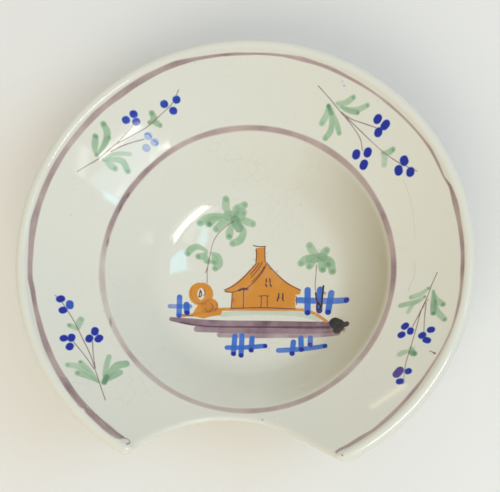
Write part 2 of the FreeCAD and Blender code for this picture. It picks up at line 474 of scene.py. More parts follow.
lay("green", [(228, 216), (241, 216.5)], 10, 0.95)
lay("green", [(235, 220), (239, 228)], 9, 1.2)
for lower in (
    [(206.5, 250.5), (198, 246.8), (191.5, 248.8), (187.6, 253.4)],
    [(207, 252), (203, 256), (198.5, 256.5)], [(205, 254), (206, 259), (208, 261.5)],
    [(211.5, 253), (218.4, 256.5), (219.5, 264), (215.2, 268.4)], [(213, 255), (215, 259), (214, 262)],
):
    leaf(*lower, width=6.4, amount=0.95)
stem((316.6, 264.9), (315.8, 276), (315.2, 286.9), (317.4, 296), (320, 302.2), width=1.1)
for crown in (
    [(318, 255), (313, 251.5), (309.6, 245.6)], [(320, 254.5), (324, 252.6), (326.4, 250.3)],
    [(316, 256), (307, 258.5), (301.2, 263)], [(318, 258), (312, 262.5), (309.5, 266)],
    [(318, 258), (321.5, 264), (322.6, 269.2)], [(320, 257.5), (329.5, 260.5), (332.4, 271.2)],
    [(319, 257), (326, 260.5), (328, 264)],
):
    leaf(*crown, width=7.6, amount=0.9, pool=0.25)
lay("green", [(310, 259), (323, 257)], 9, 1.05)
print(len(strokes), "strokes with the trees")

# %% The curled bush
turns = np.linspace(0.9, -5.4, 15)
lay("orange", [(201.0 + 7.9 * math.sin(a), 294.0 - 8.7 * math.cos(a)) for a in turns],
    [5.2 + 3.4 * abs(math.sin(a)) for a in turns], 1)
lay("orange", [(205, 304.5), (210, 302.5), (213.8, 304.6), (212, 308.4), (206, 309)], 8.8, 1.05)
fill("orange", [(191.5, 316), (195, 309.2), (199, 304), (206, 303), (214, 307), (222.5, 310.4),
                (220.5, 315.2), (211, 316.4), (204, 318.6)], 1)
pen((192.4, 287), (191.2, 293), (193.2, 299.2), (198, 302.6), width=0.8, amount=0.4)
pen((199, 296.8), (200.4, 290.4), (201.6, 294.6), (200.2, 297), width=1.2, amount=1.5)
pen((204.4, 289.4), (205, 293.4), (203.4, 295.8), width=1, amount=0.9)
pen((210.2, 303), (212.9, 306.3), (211.2, 310.6), (207.6, 311.8), (205.4, 308.8), width=1, amount=0.8)
pen((216.6, 303.4), (217.4, 307.4), (215, 311), width=0.9, amount=0.7)
pen((197.5, 303), (203, 303.4), (208.6, 300.4), width=0.9, amount=0.6)
pen((181, 314.4), (187, 315.4), (192.8, 315.8), width=1.2, amount=1.1)
print(len(strokes), "strokes with the bush")

# %% Fences
def paling(*pixels, width=6, amount=1, foot=0.7):
    """A fence post or rail: one pull of the brush, darker where it was lifted."""
    lay("blue", pixels, width, amount)
    if foot:
        dab("blue", pixels[-1], 0.8 * width, amount + foot, pull=0.4)


paling((179.6, 297), (179, 315.5), width=5.4, foot=0.2)
paling((186.6, 304.5), (186.9, 312.5), width=5.8, amount=1.2)
paling((170, 306.2), (190, 306.4), width=4.6, amount=0.8, foot=0)
paling((307.6, 290), (307.5, 312.4), width=6.4, amount=1.05)
paling((320.2, 289.5), (319.2, 310.4), width=6.4, amount=1.1, foot=0.9)
paling((331.4, 293), (328, 312), width=6.4, amount=1.05)
paling((298.5, 300.2), (322, 300.9), (346.2, 300), width=6.4, amount=0.95, foot=0.9)
paling((234.9, 336), (233.4, 353.6), width=5.4, foot=1)
paling((242, 335.6), (241, 355.2), width=5.4, foot=1)
paling((252.1, 338), (251.1, 350), width=5.4, foot=1)
paling((227, 347.6), (245, 347.4), (265, 345.9), width=5, foot=0.8)
paling((293.4, 342), (292, 353.4), width=5.6, foot=1.1)
paling((300.9, 338), (301.3, 349.4), width=5.6, foot=1.1)
paling((310.4, 338), (310.1, 344.6), width=5.4, foot=1.1)
paling((278.5, 350.4), (300, 349.2), (324.8, 345.9), width=5.4, foot=0.8)
pen((323.5, 285.9), (322.2, 297.3), (321.2, 306.3), (317.8, 310.4), (316.9, 306.3), (318.4, 302.6),
     (320.4, 306.8), width=1.5, amount=3)
pen((315.6, 293), (316.6, 300), (318.4, 304.4), width=1.3, amount=2.6)
print(len(strokes), "strokes with the fences")

# %% The strip of ground
lay("green", [(222.4, 314.6), (246, 312.8), (272.2, 312.7), (300, 314.6), (318, 319)], 5, 0.40)
lay("plum", [(171.5, 319), (192, 322), (214.8, 323.6), (270, 324.4), (329.6, 325)],
    [4.5, 7.5, 7.5, 7.5, 8], [1.15, 1.45, 1.25, 1.4, 1.6])
lay("plum", [(180, 322.2), (205, 326.2), (250, 327), (300, 327), (332, 326.6)],
    1.4, [1.4, 1.8, 1.7, 2])
lay("plum", [(197, 329), (240, 330.2), (290, 330.4), (333, 329.4)], 6.4, [1.1, 1.2, 1.2, 1.4])
lay("plum", [(219.5, 334.8), (250, 335.6), (290, 335.4), (338, 333)], 5.4, [0.85, 0.85, 0.9, 1.2])
lay("ink", [(334.6, 322.6), (338.5, 325.6), (337.5, 329.5)], [11, 12.6, 9], 2)
lay("ink", [(341, 325.4), (346.2, 324)], [5, 6], 1.7)
lay("orange", [(182.6, 316.2), (200, 313.2), (218.6, 309.4), (262.6, 309.4), (300.9, 309.8),
               (313, 313), (320, 316.8), (326.4, 321.4)],
    [2.4, 3.2, 3.4, 3.2, 3.2, 3.2, 3.2, 3], 0.95)
print(len(strokes), "strokes with the ground")

# %% The cottage, filled in orange and then drawn over
fill("orange", [
    (224.4, 289.8), (232, 285.4), (239, 280.2), (245.6, 274.2), (251, 268.6), (255.9, 263.4),
    (255.9, 248), (264.9, 247.2), (265.4, 262.4), (272.2, 269.4), (283.7, 279.6),
    (292, 285.2), (301, 289.8), (300, 294.4), (295.2, 294.8), (295.4, 308.6),
    (231.8, 308.6), (232.2, 292.8), (225.3, 292.4)], 1)
line_work = [
    [(224.4, 290.2), (233, 286.2), (241.4, 279.6), (250, 270.4), (256.4, 263.2)],
    [(266.6, 262.6), (273.5, 270.6), (283.6, 280.6), (292, 286.2), (300.4, 290)],
    [(266.2, 264.6), (262.5, 272), (255, 281.1), (248, 287.2), (243.6, 290.4)],
    [(262.2, 262.4), (258.5, 268.8), (251, 277.6)], [(259.4, 263), (255.5, 268.6), (250.4, 274.4)],
    [(264.4, 266.6), (259.4, 274.2), (252, 282)],
    [(225.2, 291.4), (232, 292.2), (240, 290), (248.4, 288.6)],
    [(243.6, 290.4), (243.6, 299), (243.4, 307.6)], [(232.2, 293.4), (231.8, 300), (231.2, 307.4)],
    [(230.2, 308.4), (262, 307.6), (295.4, 309)],
    [(253.2, 245.6), (259, 246.6), (265.6, 246.3)], [(265, 247.4), (264.8, 254), (265.4, 262.2)],
    [(256.2, 249.6), (256.6, 256), (255.8, 262)],
    [(258.8, 296.2), (263.5, 295.6), (268.6, 296)],
    [(261.6, 296.4), (261.3, 302), (260.8, 307.4)], [(267.2, 296.4), (267.3, 302), (267.2, 306.6)],
    [(296, 296), (296.8, 300.2), (296.4, 304.6)], [(238, 290), (243.4, 288.6), (247.6, 290.2)],
]
window_marks = [
    [(266.3, 279), (266.2, 282.2)], [(265.6, 284.2), (266.8, 286.6)],
    [(269.8, 279), (270.1, 282.4)], [(270.2, 284.2), (271.2, 286.6)],
    [(279, 293.4), (278.5, 297)], [(278.2, 297.8), (277.2, 301)],
    [(282.7, 293.4), (283, 297)], [(282.4, 297.8), (283.4, 300.8)],
]
for pixels in line_work:
    pen(*pixels, width=0.95, amount=1.25)
for pixels in window_marks:
    pen(*pixels, width=1.35, amount=2)
pen((239.4, 290.4), (242.6, 288.8), (246, 288.8), width=2.4, amount=1.1)
print(len(strokes), "strokes with the cottage")

# %% Small chips along the edge, too shallow to carve
lay("ink", [(262.2, 419.6), (262.8, 419.9)], 1.6, 0.7)
lay("ink", [(291.4, 431.6), (291.9, 431.9)], 1.6, 0.9)
lay("ink", [(342.1, 455.2), (342.6, 456.8)], 2.2, 1)
print(len(strokes), "strokes with the chips")

# %% [markdown]
# ## The painted bands
#
# Two bands were drawn while the bowl turned on the wheel: one where the well turns into the rim,
# one at the foot of the lip. Their width swells and fades with the press of the brush, so each is
# a circle whose radius and half width change with the bearing. The ring's were measured at a few
# bearings. The lip's band wavers more, so it was followed all the way round.

# %% Draw the ring round the well
def waver(turn, parts):
    """A smooth hand wobble: the sum of a few slow waves round the bowl."""
    return sum(size * np.sin(count * turn + start) for count, size, start in parts)


# Bearing in degrees, radius and width in millimetres, amount of pigment
ring_band_places = np.array([
    (-90, 91.1, 3.1, 0.85), (-60, 91.8, 3.4, 0.95), (-30, 91.7, 3.3, 1.1), (0, 91.4, 3.3, 1.25),
    (30, 90.9, 3.3, 1.2), (60, 90.7, 3.4, 1.05), (90, 90.6, 3.0, 1.05), (120, 90.4, 3.0, 1.15),
    (135, 89.9, 2.8, 1.25), (160, 90.0, 3.0, 1.35), (172, 90.3, 3.0, 1.05), (182, 90.8, 3.2, 0.7),
    (200, 91.0, 3.3, 0.6), (230, 90.7, 3.1, 0.85), (250, 91.0, 3.0, 0.75),
])


def ring_band(turn):
    """Radius, half width and amount of the ring at a bearing."""
    turned = np.degrees(turn)
    bearings, *columns = ring_band_places.T
    radius, width, amount = (np.interp(turned, bearings, column, period=360) for column in columns)
    half = width / 2 + waver(turn, [(8, 0.08, 0.3), (17, 0.06, 2.2)])
    return radius, half, amount + waver(turn, [(5, 0.08, 1.0), (13, 0.07, 2.0)])


print("ring at bearing 0:", [round(float(v), 2) for v in ring_band(0.0)])

# %% Draw the band under the lip
# Pixel across and down, width in pixels
lip_band_places = [
    (334.0, 453.4, 2.2), (339.7, 449.5, 3), (347.4, 446, 4), (360.2, 438.1, 4.5), (372.9, 430.4, 4),
    (393.5, 412.6, 4), (412.6, 391.9, 4), (430.2, 368, 2.5), (444.5, 344.1, 2.5), (452.5, 326.5, 2),
    (458.9, 302.6, 3), (462.1, 273, 3.8), (462.1, 245.2, 4), (458.9, 221.3, 4.5), (454.9, 202.2, 5),
    (450.1, 186.2, 3), (443.7, 176.7, 2), (438.1, 163.9, 3), (430.2, 148.8, 2.5), (409.4, 123.3, 2.5),
    (393.5, 108.1, 2.5), (377.6, 95.4, 2.5), (348.9, 77.8, 3), (329.7, 68.3, 3.5), (302.6, 59.5, 4),
    (281.9, 55.5, 2.5), (248.7, 53.9, 2.5), (207.3, 57.1, 3), (175.4, 64.3, 4.5), (143.5, 79.4, 5.5),
    (119.6, 95.4, 5.5), (95.7, 114.5, 5.5), (79.7, 132, 5), (63.8, 152.8, 5), (49.4, 178.3, 5),
    (39.9, 202.2, 5.5), (34.3, 221.3, 6), (30.8, 253.2, 5), (30.3, 278.7, 4.5), (32.7, 289.9, 4.5),
    (38.3, 318.6, 5), (47.8, 348.9, 6), (60.6, 374.4, 6.5), (71.7, 391.9, 6.5), (82.4, 405.4, 6.3),
    (85.6, 408.0, 3.8), (88.4, 411.4, 6.4), (95.7, 418, 7), (107.8, 428.5, 8), (117.3, 436.1, 7),
    (123.6, 438.5, 4),
]
lip_band_spots = [on_glaze(px, py) for px, py, _ in lip_band_places]
lip_band_turns = np.unwrap([math.atan2(spot.y, spot.x) for spot in lip_band_spots])
lip_band_radii = [math.hypot(spot.x, spot.y) for spot in lip_band_spots]
lip_band_halves = [
    width * pixel_size(spot) / 2 for (_, _, width), spot in zip(lip_band_places, lip_band_spots)
]
lip_band_start, lip_band_end = float(lip_band_turns[0]), float(lip_band_turns[-1])
print("lip band radius from", round(min(lip_band_radii), 1), "to", round(max(lip_band_radii), 1), "mm")


def lip_band(turn):
    """Radius, half width and amount of the lip's band at a bearing."""
    swept = np.where(turn < lip_band_start, turn + full, turn)
    radius = np.interp(swept, lip_band_turns, lip_band_radii)
    half = np.interp(swept, lip_band_turns, lip_band_halves)
    amount = 1.15 + waver(turn, [(4, 0.12, 0.4), (11, 0.10, 2.0), (23, 0.06, 0.5)])
    return radius, half - 0.12 + waver(turn, [(23, 0.06, 0.5), (41, 0.05, 2.6)]), amount


# %% Add up the two bands
bands = (
    (ring_band, 0.5, 0, full),
    (lip_band, 0.3, lip_band_start, lip_band_end),
)


def band_amounts(points):
    """Pigment of both bands at points on the upper face."""
    radius = np.hypot(points[:, 0], points[:, 1])
    turn = np.arctan2(points[:, 1], points[:, 0])
    total = np.zeros(len(points))
    fade_out = 0.01
    for band, soft, start, end in bands:
        middle, half, amount = band(turn)
        laid = np.clip((half - abs(radius - middle)) / (2 * soft) + 0.5, 0, 1)
        if end - start < full:
            swept = np.where(turn < start, turn + full, turn)
            laid = laid * np.clip((end - swept) / fade_out, 0, 1)
        total = total + laid * amount
    return total


# %% Touch the bands with a darker brush where it was lifted or turned back
for touch in ([(129.2, 193.1), (126.6, 197.8)], [(121.9, 203.8), (118.5, 212.5)],
              [(108.6, 237.3), (107.0, 246.0)], [(110.0, 318), (111.0, 326)]):
    lay("ink", touch, [1.0, 2.4, 1.2], 0.55, 0.35)
lay("ink", [(62, 378), (74, 395), (88, 410.6), (101, 422.4), (113, 431.8), (121, 437)],
    [2.0, 4.0, 4.5, 5.5, 5.5, 4.0], 0.30, 0.6)
lay("ink", [(66.0, 377.6), (76.0, 392.4), (89.6, 408.0), (110, 427.6), (124.3, 438)], 1.3, 0.55, 0.25)
lay("ink", [(122.5, 437.2), (125.5, 438.3), (128.4, 439.6), (129.8, 441.8), (128.6, 443.6), (127, 443.8)],
    [2.0, 1.6, 1.3, 1.4, 1.8, 1.8], 0.6)
print(len(strokes), "strokes altogether")

# %% [markdown]
# ## Points for the glazed face
#
# A mesh carries paint only as finely as its points lie. Making all of it fine would take
# millions of triangles, so points are strewn where they are needed: along both sides of every
# brush edge, close together where the lip and the well's edge turn, and wide apart elsewhere.
# A Delaunay triangulation then joins them all into one sheet.

# %% Points on circles
def round_rows(radii, step):
    """Points on circles round the axis, this far apart."""
    rows = []
    for k, radius in enumerate(radii):
        count = max(8, round(full * radius / step))
        turn = (np.arange(count) + 0.5 * (k % 2)) * full / count
        rows.append(np.column_stack([radius * np.cos(turn), radius * np.sin(turn)]))
    return np.vstack(rows)


# %% Points beside the edges of a stroke and a band
def stroke_points(stroke, step=0.45):
    """Points on both sides of a stroke's edge, and down its middle."""
    if "corners" in stroke:
        corners = stroke["corners"]
        rows = []
        for a, b in zip(corners, np.roll(corners, -1, axis=0)):
            run = b - a
            length = np.linalg.norm(run)
            t = np.linspace(0, 1, max(2, math.ceil(length / step)))[:, None]
            beside = np.array([-run[1], run[0]]) / length * stroke["soft"]
            rows += [a + run * t + beside, a + run * t - beside]
        return np.vstack(rows)
    line, half = stroke["line"], stroke["half"]
    run = np.gradient(line, axis=0)
    run = run / np.linalg.norm(run, axis=1)[:, None]
    beside = np.column_stack([-run[:, 1], run[:, 0]])
    gaps = np.linalg.norm(np.diff(line, axis=0), axis=1)
    along = np.concatenate([[0], np.cumsum(gaps)])
    pick = np.unique(np.searchsorted(along, np.arange(0, along[-1] + step, step)))
    pick = pick[pick < len(line)]
    outer = half + stroke["soft"]
    inner = np.maximum(half - stroke["soft"], 0.0)
    rows = [line[pick]]
    for width in (outer, -outer, inner, -inner):
        rows.append((line + beside * width[:, None])[pick])
    for end, way in ((0, -1), (-1, 1)):
        for width in (outer[end], inner[end]):
            if width < 0.25:
                continue
            turn = np.linspace(-math.pi / 2, math.pi / 2, max(4, round(math.pi * width / step)))
            cap = np.outer(np.cos(turn), run[end] * way) + np.outer(np.sin(turn), beside[end])
            rows.append(line[end] + cap * width)
    return np.vstack(rows)


def band_points(step=0.9):
    """Points along both bands: on their middle and on both sides of each edge."""
    rows = []
    typical_radius = 110
    for band, soft, start, end in bands:
        turn = np.arange(start, end, step / typical_radius)
        middle, half, _ = band(turn)
        for offset in (half + soft, half - soft, 0 * half, soft - half, -half - soft):
            radius = middle + offset
            rows.append(np.column_stack([radius * np.cos(turn), radius * np.sin(turn)]))
    return np.vstack(rows)


# %% Thin the points out and keep them on the face
def thinned(groups, spacings):
    """Keep points of each group in turn that lie no nearer than its spacing to one kept before."""
    cell = min(spacings)
    kept, grid = [], {}
    for points, spacing in zip(groups, spacings):
        reach = math.ceil(spacing / cell)
        for x, y in points:
            cx, cy = int(x // cell), int(y // cell)
            near = any(
                (x - qx) ** 2 + (y - qy) ** 2 < spacing ** 2
                for i in range(cx - reach, cx + reach + 1)
                for j in range(cy - reach, cy + reach + 1)
                for qx, qy in grid.get((i, j), ())
            )
            if not near:
                grid.setdefault((cx, cy), []).append((x, y))
                kept.append((x, y))
    return np.array(kept)


def well_inside(points, border, margin):
    """The points that lie inside the drawn-in outline, clear of it by a margin."""
    radius = np.hypot(points[:, 0], points[:, 1])
    away = points - notch_middle
    keep = radius < rim_radius - edge_reach - margin
    keep &= np.linalg.norm(away, axis=1) > notch_radius + edge_reach + margin
    beyond_flank = (points - flank_start) @ flank > 0
    keep &= ~beyond_flank | (away @ into_clay > notch_radius + edge_reach + margin)
    tree = KDTree(len(border))
    for i, (x, y) in enumerate(border):
        tree.insert((x, y, 0), i)
    tree.balance()
    clear = [tree.find((x, y, 0))[2] > margin for x, y in points[keep]]
    return points[keep][clear]


# %% Strew the points, the finest first
coarse_gap, turned_gap, least_gaps = 2.2, 1.6, (0.24, 0.62, 1.1)
coarse = round_rows(np.arange(coarse_gap, rim_radius - 12, coarse_gap), coarse_gap)
turned = round_rows(np.r_[86.8:93.0:0.8, 129.2:137.0:0.7], turned_gap)
painted = np.vstack([band_points()] + [stroke_points(stroke) for stroke in strokes])
groups = [well_inside(g, inner_outline, m) for g, m in ((painted, 0.3), (turned, 0.5), (coarse, 0.9))]
face_points = thinned(groups, least_gaps)
print(len(face_points), "points on the glazed face,", len(strokes), "strokes")

# %% [markdown]
# ## The skin of the bowl
#
# The sheet of triangles is lifted onto the section line to make the glazed face, and a second,
# plainer one makes the underside. Between them a rolled edge goes round the whole outline. At
# the rim it closes the lip, and in the notch it is the half-round edge that a wet thumb leaves.
# Everything shares its points, so the skin is one closed surface with no seam.

# %% Join points into a sheet
def sheet_between(border, points, hole=0.0):
    """Triangles that fill a border, as coordinates and corner numbers; border points come first."""
    places = [Vector(p) for p in border] + [Vector(p) for p in points]
    count = len(border)
    loops = [(i, (i + 1) % count) for i in range(count)]
    if hole:
        ring = [Vector((hole * math.cos(t), hole * math.sin(t))) for t in hole_turns]
        loops += [(len(places) + i, len(places) + (i + 1) % len(ring)) for i in range(len(ring))]
        places += ring
    made = delaunay_2d_cdt(places, loops, [], 1, 1e-5)
    origin = [source[0] for source in made[3]]
    flat = np.array([places[i] for i in range(len(places))])
    triangles = np.array([[origin[v] for v in face] for face in made[2]])
    middle = flat[triangles].mean(axis=1)
    return flat, triangles[np.hypot(middle[:, 0], middle[:, 1]) > hole]


# %% Fill the face above and below
foot_stations = 288
hole_turns = np.arange(foot_stations) * full / foot_stations
face_flat, face_triangles = sheet_between(inner_outline, face_points)
under_hole = 60.0
under_spread = round_rows(np.arange(62.5, 130, 3.6), 3.6)
under_turned = round_rows(np.r_[91.5:97:1.0, 131:137:1.0], 2.0)
under_groups = [well_inside(g, inner_outline, m) for g, m in ((under_turned, 0.6), (under_spread, 1.2))]
under_points = thinned(under_groups, (0.9, 1.8))
under_flat, under_triangles = sheet_between(inner_outline, under_points, under_hole)
print(len(face_triangles), "triangles above,", len(under_triangles), "below")

# %% Close the edge between the two sheets
edge_rows = 12


def edge_row(step):
    """Points round the outline at one step of the way from the upper face to the underside."""
    t = step / edge_rows
    reach = edge_reach / 0.75
    steepest = 0.75
    radius = np.hypot(inner_outline[:, 0], inner_outline[:, 1])
    towards_rim = (outward * inner_outline).sum(axis=1) / radius
    faces_meet = []
    for section in (upper, under):
        slope = np.clip(section.slope_at(radius) * towards_rim, -steepest, steepest)
        faces_meet.append((section.height_at(radius), slope))
    (z0, s0), (z3, s3) = faces_meet
    height = (1 - t) ** 3 * z0 + 3 * (1 - t) ** 2 * t * (z0 + s0 * reach)
    height = height + 3 * (1 - t) * t ** 2 * (z3 + s3 * reach) + t ** 3 * z3
    plan = inner_outline + outward * (3 * reach * t * (1 - t))
    return np.column_stack([plan, height])


edge_grid = np.array([edge_row(step) for step in range(edge_rows + 1)])
print("edge stands", round(float(np.ptp(edge_grid[:, 0, 2])), 1), "mm tall at the rim")

# %% Turn the foot
root = [(60, 0), (57, 0), (54.5, 0), (52.6, 0), (51.4, 0)]
root += [(50.5, 0.25), (49.7, 0.8), (49.2, 1.6), (49.0, 2.7)]
foot_line = [(radius, float(under.height_at(radius)) - drop) for radius, drop in root]
foot_line += [(49.0, 3.8), (49.0, 1.3), (48.93, 0.7), (48.7, 0.25), (48.2, 0.0), (46.2, 0.0)]
foot_line += [(44.2, 0.0), (43.7, 0.25), (43.47, 0.7), (43.4, 1.3), (43.38, 1.9), (43.15, 2.35)]
foot_line += [(42.6, 2.56), (41.5, 2.6), (34, 2.6), (24, 2.6), (12, 2.6)]
foot_line = np.array(foot_line)
print("foot ring from", foot_line[:, 0].max(), "mm inwards,", len(foot_line), "rows")

# %% Number the points of every row
def lifted(flat, section):
    """Flat places raised to the height of a section line."""
    return np.column_stack([flat, section.height_at(np.hypot(flat[:, 0], flat[:, 1]))])


turning = np.column_stack([np.cos(hole_turns), np.sin(hole_turns)])
foot_rings = [np.column_stack([r * turning, np.full(foot_stations, z)]) for r, z in foot_line]
parts = [lifted(face_flat, upper), edge_grid[1:-1].reshape(-1, 3), lifted(under_flat, under)]
parts += foot_rings[1:] + [np.array([[0.0, 0.0, foot_line[-1, 1]]])]
starts = np.cumsum([0] + [len(part) for part in parts])
points = np.vstack(parts) * mm
around = len(outline)
ids = [np.arange(around)]
ids += [starts[1] + step * around + np.arange(around) for step in range(edge_rows - 1)]
ids += [starts[2] + np.arange(around)]
foot_ids = [starts[3] - foot_stations + np.arange(foot_stations)]
foot_ids += [starts[3 + k] + np.arange(foot_stations) for k in range(len(foot_line) - 1)]
print(len(points), "points in", len(ids) + len(foot_ids), "rows and two sheets")


# %% Join everything into one mesh
def strip(first, second):
    """Four-sided faces between two rows of points that close on themselves."""
    return np.column_stack([first, second, np.roll(second, -1), np.roll(first, -1)])


edge_faces = [strip(a, b) for a, b in zip(ids, ids[1:])]
foot_faces = [strip(a, b) for a, b in zip(foot_ids, foot_ids[1:])]
last = foot_ids[-1]
hub = np.column_stack([last, np.full(foot_stations, len(points) - 1), np.roll(last, -1)])
upside_down = starts[2] + under_triangles[:, ::-1]
faces = face_triangles.tolist() + np.vstack(edge_faces).tolist()
faces += upside_down.tolist() + np.vstack(foot_faces).tolist() + hub.tolist()
skin = bpy.data.meshes.new("basin_skin")
skin.from_pydata(points.tolist(), [], faces)
skin.validate()
print(len(skin.vertices), "points,", len(skin.polygons), "faces")

# %% [markdown]
# ## Pigment at each point
#
# Each pigment gets its own attribute on the mesh, a plain number at every point: 0 for bare
# glaze, 1 for one pass of the brush, more where strokes lie on each other. The material turns
# those numbers into colour later.

# %% Pigment that one stroke leaves
def stroke_amount(stroke, spots):
    """Pigment that one stroke leaves at these points."""
    if "corners" in stroke:
        a = stroke["corners"]
        b = np.roll(a, -1, axis=0)
        nearest = np.full(len(spots), 1e9)
        inside = np.zeros(len(spots), bool)
        for p, q in zip(a, b):
            run = q - p
            t = np.clip(((spots - p) @ run) / (run @ run), 0, 1)
            nearest = np.minimum(nearest, np.linalg.norm(spots - p - t[:, None] * run, axis=1))
            crosses = (p[1] > spots[:, 1]) != (q[1] > spots[:, 1])
            with np.errstate(divide="ignore", invalid="ignore"):
                where = p[0] + (spots[:, 1] - p[1]) * run[0] / run[1]
            inside ^= crosses & (spots[:, 0] < where)
        depth = np.where(inside, nearest, -nearest)
        strength = stroke["amount"]
    else:
        gap = np.linalg.norm(spots[:, None] - stroke["line"][None], axis=2)
        depth_all = stroke["half"][None] - gap
        best = depth_all.argmax(axis=1)
        depth = depth_all[np.arange(len(spots)), best]
        strength = stroke["amount"][best]
    return strength * np.clip(depth / (2 * stroke["soft"]) + 0.5, 0, 1)


# %% Add up the strokes
pigments = ("manganese", "plum", "green", "stalk", "orange", "blue", "violet", "ink")
second_pass = 0.25
spots = points[:len(face_flat), :2] / mm
amounts = {name: np.zeros(len(points)) for name in pigments}
amounts["manganese"][:len(spots)] = band_amounts(spots)
for stroke in strokes:
    shape = stroke.get("corners", stroke.get("line"))
    pad = 1.0 + float(np.max(stroke.get("half", 0.0)))
    near = ((spots > shape.min(axis=0) - pad) & (spots < shape.max(axis=0) + pad)).all(axis=1)
    found = np.flatnonzero(near)
    before, added = amounts[stroke["pigment"]][found], stroke_amount(stroke, spots[found])
    overlap = np.minimum(before, added)
    amounts[stroke["pigment"]][found] = np.maximum(before, added) + second_pass * overlap
for name in pigments:
    layer = skin.attributes.new(name, "FLOAT", "POINT")
    layer.data.foreach_set("value", amounts[name].astype(np.float32))
    print(name, "covers", int((amounts[name] > 0.5).sum()), "points")

# %% [markdown]
# ## A flat map for the finished part
#
# A flat map for baking the finish should give most of its squares to the painted face. So the
# face lies in the map as a large disc, seen from above, and the underside as a small one in the
# corner. Distances run along the section, so that upright walls and the rolled edge get their
# share.

# %% Measure the way along the section
margin = 8.5
foot_gaps = np.hypot(*np.diff(foot_line[::-1], axis=0).T)
foot_run = np.concatenate([[0], np.cumsum(foot_gaps)])[::-1] + foot_line[-1, 0]
run_out = foot_run[0] - under_hole
scale_above = 0.45 / (rim_radius - edge_reach + margin)
scale_below = 0.125 / (rim_radius - edge_reach + run_out + margin)
edge_run = np.linalg.norm(np.diff(edge_grid, axis=0), axis=2).cumsum(axis=0)
print("foot line adds", round(float(run_out), 1), "mm to the way from the middle")


# %% Lay the two discs out flat
def pushed_out(flat):
    """Places moved outwards, to make room for the foot in the middle."""
    radius = np.linalg.norm(flat, axis=1)
    return flat * ((radius + run_out) / radius)[:, None]


above, below = np.zeros((len(points), 2)), np.zeros((len(points), 2))
above[:len(face_flat)] = face_flat
for step in range(1, edge_rows + 1):
    above[ids[step]] = inner_outline + outward * edge_run[step - 1][:, None]
for step in range(edge_rows):
    back_run = edge_run[-1] - (edge_run[step - 1] if step else 0)
    below[ids[step]] = pushed_out(inner_outline) + outward * back_run[:, None]
below[starts[2]:starts[3]] = pushed_out(under_flat)
for ring, run in zip(foot_ids, foot_run):
    below[ring] = turning * run

# %% Put them into the map
middle_above, middle_below = np.array([0.455, 0.455]), np.array([0.870, 0.870])
half_edge = len(face_triangles) + around * (edge_rows // 2)
corner_points = np.zeros(len(skin.loops), np.int32)
skin.loops.foreach_get("vertex_index", corner_points)
sizes = np.zeros(len(skin.polygons), np.int32)
skin.polygons.foreach_get("loop_total", sizes)
on_top = np.repeat(np.arange(len(sizes)) < half_edge, sizes)
chart = np.where(
    on_top[:, None],
    middle_above + above[corner_points] * scale_above,
    middle_below + below[corner_points] * scale_below * [-1, 1],
)
bake_map = skin.uv_layers.new(name="OFBake")
bake_map.data.foreach_set("uv", chart.astype(np.float32).ravel())
print("map runs from", chart.min(axis=0).round(3), "to", chart.max(axis=0).round(3))

# %% [markdown]
# ## The hand of the thrower
#
# No thrown bowl is quite true: it sags a little in drying, and fingers leave faint rings in the
# well. Both follow rules that depend only on place, so a small Geometry Nodes tree moves the
# points, and its sizes stay open to change. The foot is left alone, so that the bowl still
# stands on its table.

# %% Helpers for node trees
def new_input(tree, name, kind, value=None):
    socket = tree.interface.new_socket(name, in_out="INPUT", socket_type=kind)
    if value is not None:
        socket.default_value = value


def new_output(tree, name, kind):
    tree.interface.new_socket(name, in_out="OUTPUT", socket_type=kind)


def node(tree, kind, inputs=None, **settings):
    """Add a node with its settings and its input values or links."""
    made = tree.nodes.new(kind)
    for key, value in settings.items():
        setattr(made, key, value)
    for key, value in (inputs or {}).items():
        if isinstance(value, bpy.types.NodeSocket):
            tree.links.new(value, made.inputs[key])
        else:
            made.inputs[key].default_value = value
    return made


def computed(tree, operation, *values):
    """Result of one math node on these values or sockets."""
    return node(tree, "ShaderNodeMath", dict(enumerate(values)), operation=operation).outputs[0]


def product(tree, first, *others):
    """Product of these values or sockets."""
    for other in others:
        first = computed(tree, "MULTIPLY", first, other)
    return first


def ramp(tree, value, start, end, low=0.0, high=1.0):
    """How far a value has come from start to end, given as a number from low to high."""
    return node(tree, "ShaderNodeMapRange", {0: value, 1: start, 2: end, 3: low, 4: high}).outputs[0]


# %% Name the inputs of the hand-thrown tree
thrown = bpy.data.node_groups.new("hand thrown", "GeometryNodeTree")
new_input(thrown, "Bowl", "NodeSocketGeometry")
new_input(thrown, "Warp", "NodeSocketFloat", 0.0004)
new_input(thrown, "Warp Size", "NodeSocketFloat", 0.11)
new_input(thrown, "Ring Depth", "NodeSocketFloat", 0.00004)
new_input(thrown, "Ring Spacing", "NodeSocketFloat", 0.0065)
new_input(thrown, "Seed", "NodeSocketFloat", 4.0)
new_input(thrown, "Finish", "NodeSocketMaterial")
new_output(thrown, "Bowl", "NodeSocketGeometry")
given = node(thrown, "NodeGroupInput").outputs
print("hand-thrown tree is given", [socket.name for socket in given if socket.name])

